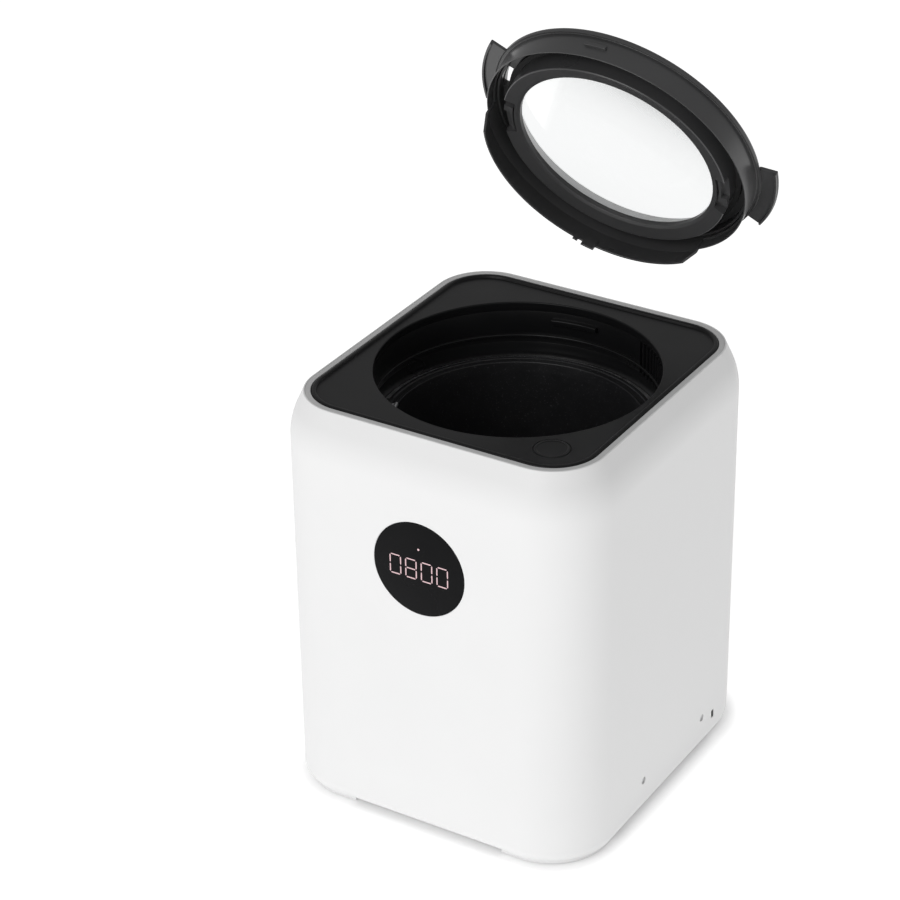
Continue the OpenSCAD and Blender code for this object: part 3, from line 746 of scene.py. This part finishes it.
def outer_shell():
    """The shell with its openings for the lens, screws, port, filter drawer and inlet."""
    bm = bmesh.new()
    sweep(bm, shell_profile(), sizes().corner_steps)
    shell = piece("outer_shell_skin", bm, shell_white(), "housing", ["outer_shell"])
    reach = 9
    lens_gap, screw_gap, port_gap = 0.2, 0.1, 0.1
    drawer_side_gap, drawer_gap = 0.6, 0.4
    screw_r = 3
    inlet_flange = 2.9
    quarter = math.radians(90)
    openings = bmesh.new()
    to_front = Matrix.Translation((0, FRONT_Y, LENS_Z)) @ Matrix.Rotation(quarter, 4, "X")
    prism(openings, disc_outline(LENS_R + lens_gap, 128), -reach, reach, to_front)
    screws_low, screws_high = span("shell_screws")
    screw_z = (screws_low.z + screws_high.z) / 2
    for y in (screws_low.y + screw_r, screws_high.y - screw_r):
        for side in (-1, 1):
            at = Matrix.Translation((side * BODY_W / 2, y, screw_z))
            to_side = at @ Matrix.Rotation(quarter, 4, "Y")
            prism(openings, disc_outline(screw_r + screw_gap, 32), -reach, reach, to_side)
    port_low, port_high = span("side_port")
    block(
        openings,
        (BODY_W / 2 - reach, port_low.y - port_gap, port_low.z - port_gap),
        (BODY_W / 2 + reach, port_high.y + port_gap, port_high.z + port_gap),
    )
    drawer_low, drawer_high = span("filter_drawer")
    block(
        openings,
        (drawer_low.x - drawer_side_gap, BACK_Y - reach, drawer_low.z - drawer_gap),
        (drawer_high.x + drawer_side_gap, BACK_Y + reach, drawer_high.z + drawer_gap),
    )
    inlet_low, inlet_high = span("power_inlet")
    block(
        openings,
        (inlet_low.x + inlet_flange, BACK_Y - reach, inlet_low.z + inlet_flange),
        (inlet_high.x - inlet_flange, BACK_Y + reach, inlet_high.z - inlet_flange),
    )
    cut(shell, openings)
    even_normals(shell)


def trim_ring():
    """The grey band, with a foot below the deck's lip."""
    bm = bmesh.new()
    profile = filleted(
        [
            (TRIM_OUT, LEDGE_Z, 0),
            (TRIM_OUT, RIM_Z - 0.1, 0.5),
            (TRIM_IN, RIM_Z, 0.5),
            (TRIM_IN, LEDGE_TOP, 0),
            (TRIM_FOOT_IN, LEDGE_TOP, 0),
            (TRIM_FOOT_IN, LEDGE_Z, 0),
        ]
    )
    sweep(bm, profile, sizes().corner_steps)
    even_normals(piece("trim_ring_band", bm, trim_grey(), "housing", ["trim_ring"]))


def feet():
    """Four corner feet that carry on the housing's outline, each with straight inner ends."""
    bm = bmesh.new()
    ground = span("feet")[0].z
    inner_x, inner_y = 66.0, 78.0
    sections = ((47.4, ground), (48.1, ground + 0.5), (48.8, FOOT_H))
    for sx in (-1, 1):
        for sy in (-1, 1):
            loops = []
            for x, z in sections:
                outline = [(inner_x, CORNER_Y + x)]
                outline += arc((CORNER_X, CORNER_Y), x, 90, 0, 16)
                outline += [(CORNER_X + x, inner_y), (inner_x, inner_y)]
                loops.append([(sx * px, sy * py, z) for px, py in outline])
            rows = skin_loops(bm, loops, closed=False)
            bm.faces.new(rows[0])
            bm.faces.new(rows[-1])
    piece("corner_feet", bm, shell_white(), "housing", ["feet"])


class COMPOSTER_OT_deck(Piece, bpy.types.Operator):
    """Deck plate with its raised lip, the start button, and the collar below the opening"""

    bl_idname = "composter.deck"
    bl_label = "Deck and collar"

    def execute(self, context):
        deck_plate()
        start_button()
        collar()
        return {"FINISHED"}


def deck_plate():
    """Flat deck from the round opening out to a groove and the raised lip."""
    wall_steps = 24
    path = housing_path(sizes().corner_steps, wall_steps)
    angles = [math.atan2(c.y + d.y * LIP_IN, c.x + d.x * LIP_IN) for c, d in path]
    opening_round, groove_round, inner_round, outer_round = 1.0, 0.6, 1.5, 1.7
    edge_z = DECK_Z - opening_round

    def circle(radius, z):
        return [(radius * math.cos(a), radius * math.sin(a), z) for a in angles]

    def outline(x, z):
        return [(c.x + d.x * x, c.y + d.y * x, z) for c, d in path]

    loops = [circle(OPENING_R, DECK_LOW), circle(OPENING_R, edge_z)]
    loops += [circle(OPENING_R + opening_round - r, z) for r, z in arc((0, edge_z), opening_round, 15, 90, 5)]
    loops += [outline(DECK_FLAT, DECK_Z), outline(GROOVE_IN, DECK_Z)]
    section = arc((GROOVE_IN, DECK_Z + groove_round), groove_round, -70, -20, 3)
    section += arc((33.6, RIM_Z - 0.9), inner_round, 165, 90, 6)
    section += arc((34.4, RIM_Z - 1.1), outer_round, 90, 0, 8)
    section += [(LIP_OUT, LEDGE_TOP), (LIP_IN, LEDGE_TOP), (LIP_IN, DECK_LOW)]
    loops += [outline(x, z) for x, z in section]
    bm = bmesh.new()
    skin_loops(bm, loops)
    deck = piece("deck_plate_skin", bm, deck_black(), "housing", ["deck_plate"])
    hole = bmesh.new()
    prism(hole, disc_outline(BUTTON_R + 0.5, 96, BUTTON_AT), DECK_LOW - 3, RIM_Z + 3)
    cut(deck, hole)
    even_normals(deck)


def start_button():
    """Dished cap with a skirt and the stem that presses the switch."""
    bm = bmesh.new()
    top = BUTTON_HIGH.z
    dish = top - 0.35
    below = top - 1.8
    skirt_in = BUTTON_R - 1.6
    profile = filleted(
        [
            (skirt_in, DECK_LOW, 0),
            (BUTTON_R, DECK_LOW, 0),
            (BUTTON_R, top, 0.7),
            (BUTTON_R - 2.2, top, 0.4),
            (BUTTON_R - 2.6, dish, 0.4),
            (CENTRE_R, dish, 0),
            (CENTRE_R, below, 0),
            (skirt_in, below, 0),
        ],
        5,
    )
    revolve(bm, profile, 96)
    prism(bm, disc_outline(2.5, 24), BUTTON_LOW.z, top - 1.6)
    place = Matrix.Translation((BUTTON_AT[0] * MM, BUTTON_AT[1] * MM, 0))
    piece("start_button_cap", bm, deck_black(), "start_button", ["button_cap"], place)


def collar():
    """Collar with a stepped wall, two bayonet ledges, and a grille whose ribs go on past its openings."""
    steps = sizes().round_steps
    inner_r, outer_r, joined_r = 110.5, 113.0, 110.6
    grille_start, recess_start, grille_end = 20.0, 45.0, 62.0
    grille_low, grille_high = 303.0, 330.0
    recess_r = 112.2
    rib_in, rib_out, rib_half, rib_round, rib_pitch, rib_overlap = 109.2, 112.9, 1.0, 0.7, 3.0, 0.5
    low, high = COLLAR_FOOT, DECK_LOW
    bm = bmesh.new()

    def wall(bottom, top, start=0.0, end=360.0):
        section = [(inner_r, bottom, 0.2), (outer_r, bottom, 0), (outer_r, top, 0), (inner_r, top, 0.2)]
        revolve(bm, filleted(section, 2), steps, start, end)

    def inner_band(r_in, bottom, top, low_round, top_round, start=0.0, end=360.0):
        section = [(r_in, bottom, low_round), (joined_r, bottom, 0)]
        section += [(joined_r, top, 0), (r_in, top, top_round)]
        revolve(bm, filleted(section), steps, start, end)

    wall(low, grille_low)
    wall(grille_high, high)
    wall(grille_low, grille_high, grille_end, grille_start + 360)
    recess = [(recess_r, grille_low), (outer_r, grille_low), (outer_r, grille_high), (recess_r, grille_high)]
    revolve(bm, recess, steps, recess_start, grille_end)
    inner_band(108.4, low, low + 3, 0.3, 0.4)
    inner_band(108.5, 308.0, 310.0, 0.6, 0.6)
    for start, end, bottom, top in ((86, 106, 321.0, 325.0), (266, 286, 332.4, high)):
        inner_band(106.4, bottom, top, 0.5, 0.5, start, end)
    rib = filleted(
        [
            (rib_in, -rib_half, rib_round),
            (rib_out, -rib_half, 0),
            (rib_out, rib_half, 0),
            (rib_in, rib_half, rib_round),
        ],
        3,
    )
    for i in range(1, round((grille_end - grille_start) / rib_pitch)):
        turn = Matrix.Rotation(math.radians(grille_start + rib_pitch * i), 4, "Z")
        prism(bm, rib, grille_low - rib_overlap, grille_high + rib_overlap, turn)
    piece("collar_wall", bm, collar_black(), "housing", ["collar"])


class COMPOSTER_OT_display(Piece, bpy.types.Operator):
    """Round display lens and its lit digits"""

    bl_idname = "composter.display"
    bl_label = "Display"

    def execute(self, context):
        display_lens()
        digits()
        return {"FINISHED"}


LENS_FACE = 0.3
DIGIT_FACE = 0.36


def front_place():
    """Turns +Z to face forwards from the middle of the lens."""
    to_front = Matrix.Rotation(math.radians(90), 4, "X")
    return Matrix.Translation((0, FRONT_Y * MM, LENS_Z * MM)) @ to_front


def display_lens():
    """Flat black disc that stands a little proud of the shell."""
    bm = bmesh.new()
    back = -2.0
    corners = [(CENTRE_R, back, 0), (LENS_R, back, 0), (LENS_R, LENS_FACE, 0.3), (CENTRE_R, LENS_FACE, 0)]
    revolve(bm, filleted(corners, 5), 160)
    glass = display_glass()
    piece("display_lens_disc", bm, glass, "housing", ["display_lens"], front_place())


def digits():
    """Four seven-segment digits of slim bars with pointed ends, and a plain dot above."""
    pitch, width, height, stroke, gap, drop = 13.4, 9.0, 15.8, 0.95, 0.6, 1.0
    dot_r, dot_height = 0.9, 17
    ring = "abcdef"
    shown = (ring, ring + "g", ring, ring)
    half_w, half_h = width / 2, height / 2
    ends = {
        "a": ((-half_w, half_h), (half_w, half_h)),
        "b": ((half_w, half_h), (half_w, 0)),
        "c": ((half_w, 0), (half_w, -half_h)),
        "d": ((-half_w, -half_h), (half_w, -half_h)),
        "e": ((-half_w, 0), (-half_w, -half_h)),
        "f": ((-half_w, half_h), (-half_w, 0)),
        "g": ((-half_w, 0), (half_w, 0)),
    }
    bm = bmesh.new()
    for index, bars in enumerate(shown):
        at = Vector(((index - 1.5) * pitch, -drop))
        for name in bars:
            start, end = (at + Vector(p) for p in ends[name])
            along = (end - start).normalized()
            across = Vector((-along.y, along.x)) * stroke / 2
            start, end = start + along * gap, end - along * gap
            tip = along * stroke / 2
            points = [
                start,
                start + tip - across,
                end - tip - across,
                end,
                end - tip + across,
                start + tip + across,
            ]
            prism(bm, [point[:] for point in points], LENS_FACE, DIGIT_FACE)
    prism(bm, disc_outline(dot_r, 24, (0, dot_height)), LENS_FACE, DIGIT_FACE)
    piece("display_bars", bm, digit_light(), "housing", ["display_digits"], front_place())


class COMPOSTER_OT_bucket(Piece, bpy.types.Operator):
    """Bucket with its rim and the bail's lugs"""

    bl_idname = "composter.bucket"
    bl_label = "Bucket"

    def execute(self, context):
        bucket()
        return {"FINISHED"}


def bucket():
    """Pot with a stepped flange, a rim that rests on the liner, and two lugs for the bail."""
    rim = LINER_TOP
    rim_top = rim + 2.4
    rim_dip = rim + 1.9
    rim_r = 105.5
    hub_r = 14.0
    floor_z = BUCKET_Z + 3
    neck_z = rim - 7
    bm = bmesh.new()
    profile = filleted(
        [
            (hub_r, BUCKET_Z, 0),
            (93.0, BUCKET_Z, 6.0),
            (97.0, neck_z, 1.5),
            (98.2, rim - 1, 0.5),
            (98.8, rim, 0.2),
            (rim_r, rim, 0.6),
            (rim_r, rim_top, 0.9),
            (102.6, rim_top, 0.4),
            (102.0, rim_dip, 0.4),
            (98.6, rim_dip, 0.4),
            (98.0, rim_top, 0.4),
            (96.0, rim_top, 0.6),
            (95.3, neck_z, 1.5),
            (91.2, floor_z, 8.0),
            (hub_r, floor_z, 0),
        ],
        6,
    )
    revolve(bm, profile, sizes().round_steps)
    bail_degrees = 20.0
    lug = [(97, -6), (103, -6), (103, 6), (97, 6)]
    for degrees in (bail_degrees, bail_degrees + 180):
        prism(bm, lug, rim_top - 0.2, rim + 9, Matrix.Rotation(math.radians(degrees), 4, "Z"))
    pot = piece("bucket_pot", bm, bucket_coat(), "bucket", ["bucket"])
    soften(pot, 0.6)


class COMPOSTER_OT_lid(Piece, bpy.types.Operator):
    """Lid cover, window, bezel and lock ring"""

    bl_idname = "composter.lid"
    bl_label = "Lid"

    def execute(self, context):
        lid_cover()
        window()
        lock_ring()
        return {"FINISHED"}


def sector(bm, corners, start, end, smoothing=3):
    """Part of a turned piece; corners are (radius, z, fillet)."""
    revolve(bm, filleted(corners, smoothing), sizes().round_steps, start, end)


def bar(bm, r_in, r_out, bottom, top, start, end, fillet=0.3):
    """A bent bar with rounded edges."""
    corners = [(r_in, bottom, fillet), (r_out, bottom, fillet), (r_out, top, fillet), (r_in, top, fillet)]
    sector(bm, corners, start, end)


def lid_cover():
    """Plug with a cone-shaped front, a groove behind it, the guide wall, snap hooks and slots."""
    bm = bmesh.new()
    guide_in = GUIDE_R - 2
    cap_r = 104.4
    pocket_r = BEZEL_R + 0.2
    profile = filleted(
        [
            (WINDOW_R, GLASS_Z, 0),
            (WINDOW_R, EDGE_Z, 0.5),
            (WINDOW_R + 2.3, STEP_Z, 0.5),
            (PLUG_R - 0.6, PLUG_Z, 0.6),
            (PLUG_R, PLUG_Z + 0.8, 0.6),
            (PLUG_R, GROOVE_Z, 0.8),
            (guide_in, GROOVE_Z, 0.8),
            (guide_in, GUIDE_FOOT_Z, 0.5),
            (GUIDE_R, GUIDE_FOOT_Z, 0.5),
            (GUIDE_R, GUIDE_TOP_Z, 0),
            (cap_r, GUIDE_TOP_Z, 0),
            (cap_r, RING_TOP, 0.5),
            (pocket_r + 1, RING_TOP, 0.4),
            (pocket_r, RING_TOP - 1, 0),
            (pocket_r, GLASS_Z, 0),
        ]
    )
    revolve(bm, profile, sizes().round_steps)
    for degrees in (215, 270, 325):
        stem, nose = degrees - 3, degrees - 2.6
        bar(bm, GUIDE_R - 1.7, GUIDE_R - 0.2, 327.6, 333, stem, stem + 6, 0.2)
        bar(bm, GUIDE_R - 1.4, GUIDE_R + 1.4, 327.2, 328.1, nose, nose + 5.2, 0.2)
    cover = piece("lid_cover_moulding", bm, lid_black(), "lid", ["lid_cover"])
    slots = bmesh.new()
    arm_reach = 12
    for degrees in (0, 180):
        bar(slots, 83.0, 94.0, 310.0, GLASS_Z - 1.2, degrees - arm_reach, degrees + arm_reach, 0)
    bar(slots, 96.5, 100.6, GUIDE_FOOT_Z - 1, RING_TOP + 2, 184, 199, 0)
    cut(cover, slots)
    cover.data.transform(LID)
    even_normals(cover)


def window():
    """The pane, and the bezel that holds it down into the cover."""
    steps = sizes().round_steps
    pane_r, rebate_r = 84.0, 84.2
    bezel_top = 341.0
    bm = bmesh.new()
    pane = [(CENTRE_R, GLASS_Z, 0), (pane_r, GLASS_Z, 0.4)]
    pane += [(pane_r, GLASS_TOP, 0.4), (CENTRE_R, GLASS_TOP, 0)]
    revolve(bm, filleted(pane), steps)
    piece("window_pane", bm, window_clear(), "lid", ["window_glass"], LID)
    bm = bmesh.new()
    profile = filleted(
        [
            (80.5, GLASS_TOP, 0.2),
            (rebate_r, GLASS_TOP, 0),
            (rebate_r, GLASS_Z, 0),
            (BEZEL_R, GLASS_Z, 0),
            (BEZEL_R, bezel_top - 1.1, 0),
            (BEZEL_R - 1.5, bezel_top, 0.5),
            (BEZEL_R - 2.9, bezel_top, 0.8),
            (81.4, GLASS_TOP + 2, 1.0),
        ]
    )
    revolve(bm, profile, steps)
    piece("window_bezel_ring", bm, shell_white(), "lid", ["window_bezel"], LID)


def lock_ring():
    """Domed flange, skirt, the deep lip that leans inwards with its tongue and tab, lugs, finger ears."""
    inner, capped = GUIDE_R + 0.06, 104.8
    shelf_z, slide_z = 328.5, 340.5
    skirt_in, skirt_out, skirt_z = 104.9, 106.0, 320.0
    flange_z, dome_r = 339.1, 3.6
    bm = bmesh.new()
    profile = filleted(
        [
            (inner, shelf_z, 0.3),
            (skirt_in, shelf_z, 0.2),
            (skirt_in, skirt_z, 0.4),
            (skirt_out, skirt_z, 0.4),
            (skirt_out, flange_z, 0.5),
            (109.0, flange_z, 0.6),
        ]
    )
    profile += arc((105.4, 339.8), dome_r, 0, 75, 8)
    profile += [(capped, RING_TOP), (capped, slide_z), (inner, slide_z)]
    revolve(bm, profile, sizes().round_steps)
    lip_z, lip_root = 299.5, 330
    lip = [
        (103.6, lip_root, 0),
        (103.6, 316.5, 1),
        (97, lip_z, 0.5),
        (98.8, lip_z, 0.5),
        (105.3, 316, 1),
        (105.3, lip_root, 0),
    ]
    sector(bm, lip, 48.5, 178)
    tongue_root, tongue_z = lip_z + 7, lip_z - 4.5
    tongue = [
        (99.2, tongue_root, 0.2),
        (94.8, tongue_z, 0.5),
        (96.6, tongue_z, 0.5),
        (101, tongue_root, 0),
    ]
    sector(bm, tongue, 94.7, 101)
    tab_root, tab_z = lip_z + 4, lip_z - 3
    tab = [(98.1, tab_root, 0.2), (95.4, tab_z, 0.4), (97, tab_z, 0.4), (99.9, tab_root, 0)]
    sector(bm, tab, 103.2, 105.6)
    for degrees, lug_z, lug_top in ((80, 316.5, 320.6), (260, 329, 332)):
        bar(bm, 104.5, 108.2, lug_z, lug_top, degrees - 4.5, degrees + 4.5)
    ear_reach, rib_reach = 17, 16.6
    rib_z, rib_top = 341, 344
    for degrees in (8.5, 186):
        bar(bm, 107.0, 121.5, 342.6, 345, degrees - ear_reach, degrees + ear_reach, 0.9)
        bar(bm, 119.2, 121.0, rib_z, rib_top, degrees - rib_reach, degrees + rib_reach)
        bar(bm, 107.6, 108.7, rib_z, rib_top, degrees - rib_reach, degrees + rib_reach)
    ring = piece("lock_ring_moulding", bm, lid_black(), "lock", ["lock_ring"], LID)
    even_normals(ring)


class COMPOSTER_OT_inner_works(Piece, bpy.types.Operator):
    """Finishes and small rounded edges of the construction's own pieces"""

    bl_idname = "composter.inner_works"
    bl_label = "Inner works"

    def execute(self, context):
        for name, finish in INNER_FINISHES.items():
            node = frame["nodes"][name]
            material = finish()
            node.data.materials.clear()
            node.data.materials.append(material)
            width = SOFTENED.get(name)
            if width:
                soften(node, width)
        return {"FINISHED"}


class COMPOSTER_OT_stage(Piece, bpy.types.Operator):
    """Pale floor, soft studio light and the camera"""

    bl_idname = "composter.stage"
    bl_label = "Stage"

    def execute(self, context):
        camera(context.scene)
        floor()
        lights(context.scene)
        return {"FINISHED"}


# The camera's frame, focal length and optical axis in pixels, its place in metres, and its own axes
FRAME_PX = 900
FOCAL_PX = 2915.0
AXIS_PX = (530.0, 463.0)
SENSOR_MM = 36.0
CAMERA_AT = Vector((0.9787, -1.6701, 1.355))
CAMERA_AXES = ((0.8651, 0.5015, 0.0), (-0.2477, 0.4273, 0.8695), (0.4361, -0.7522, 0.4939))

# The floor's glow, dimmed under and round the housing into a painted contact shadow, and the lights
FLOOR_HALF = 12000
FLOOR_THICK = 20
PAINTED_SHADOW_GLOW, OPEN_GLOW = 0.14, 0.65
PAINTED_SHADOW_IN, PAINTED_SHADOW_OUT = 8, 16
WORLD_STRENGTH = 0.42
KEY_AT = (-0.14, -3.3, 2.24)
KEY_AIM = (0, 0, 0.15)
KEY_SIZE = (2.8, 2.2)
KEY_WATTS = 55


def camera(scene):
    """A camera whose optical axis lies off the frame's middle."""
    data = bpy.data.cameras.new("photo_camera")
    data.sensor_width = SENSOR_MM
    data.lens = FOCAL_PX / FRAME_PX * SENSOR_MM
    data.shift_x = (FRAME_PX / 2 - AXIS_PX[0]) / FRAME_PX
    data.shift_y = (AXIS_PX[1] - FRAME_PX / 2) / FRAME_PX
    obj = bpy.data.objects.new("photo_camera", data)
    scene.collection.objects.link(obj)
    turn = Matrix(CAMERA_AXES).transposed().to_4x4()
    obj.matrix_world = Matrix.Translation(CAMERA_AT) @ turn
    scene.camera = obj


def floor():
    """A pale slab that the part stands on."""
    bm = bmesh.new()
    block(bm, (-FLOOR_HALF, -FLOOR_HALF, -FLOOR_THICK), (FLOOR_HALF, FLOOR_HALF, 0))
    mesh = bpy.data.meshes.new("floor")
    bm.to_mesh(mesh)
    bm.free()
    obj = bpy.data.objects.new("floor", mesh)
    bpy.context.scene.collection.objects.link(obj)
    mesh.materials.append(floor_white_painted_shadow())


def floor_white_painted_shadow():
    """White studio floor, lit from within like a light table, its glow dimmed where the housing stands on it
    to paint a contact shadow.
    """
    material, tree, shader = new_material("floor_white_painted_shadow")
    if tree is None:
        return material
    white = tinted(tree, noise(tree, 3.0), (0.94, 0.94, 0.94), 0.004)
    tree.links.new(white, shader.inputs["Base Color"])
    tree.links.new(white, shader.inputs["Emission Color"])
    # Distance out from the housing's footprint, which sets where the painted contact shadow lies
    coords = tree.nodes.new("ShaderNodeTexCoord")
    reach = coords.outputs["Object"]
    corner = (CORNER_X * MM, CORNER_Y * MM, 0)
    for step, amount in (("ABSOLUTE", None), ("SUBTRACT", corner), ("MAXIMUM", (0, 0, 0))):
        node = tree.nodes.new("ShaderNodeVectorMath")
        node.operation = step
        tree.links.new(reach, node.inputs[0])
        if amount:
            node.inputs[1].default_value = amount
        reach = node.outputs["Vector"]
    length = tree.nodes.new("ShaderNodeVectorMath")
    length.operation = "LENGTH"
    tree.links.new(reach, length.inputs[0])
    # The glow dims near the housing's footprint: a painted contact shadow on the floor
    glow = tree.nodes.new("ShaderNodeMapRange")
    glow.interpolation_type = "SMOOTHSTEP"
    glow.inputs["From Min"].default_value = (CORNER_R - PAINTED_SHADOW_IN) * MM
    glow.inputs["From Max"].default_value = (CORNER_R + PAINTED_SHADOW_OUT) * MM
    glow.inputs["To Min"].default_value = PAINTED_SHADOW_GLOW
    glow.inputs["To Max"].default_value = OPEN_GLOW
    tree.links.new(length.outputs["Value"], glow.inputs["Value"])
    tree.links.new(glow.outputs["Result"], shader.inputs["Emission Strength"])
    shader.inputs["Roughness"].default_value = 0.9
    shader.inputs["Specular IOR Level"].default_value = 0.05
    return material


def lights(scene):
    """An even surround and one broad soft light before the part."""
    world = bpy.data.worlds.new("studio")
    world.use_nodes = True
    background = world.node_tree.nodes["Background"]
    background.inputs["Color"].default_value = (1.0, 1.0, 1.0, 1.0)
    background.inputs["Strength"].default_value = WORLD_STRENGTH
    scene.world = world
    data = bpy.data.lights.new("key", "AREA")
    data.shape = "RECTANGLE"
    data.size, data.size_y = KEY_SIZE
    data.energy = KEY_WATTS
    key = bpy.data.objects.new("key", data)
    key.location = KEY_AT
    key.rotation_euler = (Vector(KEY_AIM) - Vector(KEY_AT)).to_track_quat("-Z", "Y").to_euler()
    scene.collection.objects.link(key)
    scene.view_settings.view_transform = "Standard"


class COMPOSTER_PT_panel(bpy.types.Panel):
    """Sizes, colours and one button for each group of pieces"""

    bl_idname = "COMPOSTER_PT_panel"
    bl_label = "Composter"
    bl_space_type = "VIEW_3D"
    bl_region_type = "UI"
    bl_category = "Composter"

    def draw(self, context):
        layout = self.layout
        for settings in (context.scene.composter_sizes, context.scene.composter_colours):
            box = layout.box()
            for name in settings.__annotations__:
                box.prop(settings, name)
        for operator in OPERATORS:
            layout.operator(operator.bl_idname)


OPERATORS = (
    COMPOSTER_OT_stage,
    COMPOSTER_OT_housing,
    COMPOSTER_OT_deck,
    COMPOSTER_OT_display,
    COMPOSTER_OT_bucket,
    COMPOSTER_OT_lid,
    COMPOSTER_OT_inner_works,
)
CLASSES = (ComposterSizes, ComposterColours) + OPERATORS + (COMPOSTER_PT_panel,)


def register():
    """Adds the settings, operators and panel."""
    for cls in CLASSES:
        bpy.utils.register_class(cls)
    bpy.types.Scene.composter_sizes = PointerProperty(type=ComposterSizes)
    bpy.types.Scene.composter_colours = PointerProperty(type=ComposterColours)


def unregister():
    """Removes what register adds."""
    del bpy.types.Scene.composter_sizes
    del bpy.types.Scene.composter_colours
    for cls in reversed(CLASSES):
        bpy.utils.unregister_class(cls)


def main():
    """Registers the add-on and runs its operators in order."""
    register()
    bpy.ops.composter.stage()
    bpy.ops.composter.housing()
    bpy.ops.composter.deck()
    bpy.ops.composter.display()
    bpy.ops.composter.bucket()
    bpy.ops.composter.lid()
    bpy.ops.composter.inner_works()


if __name__ == "__main__":
    main()
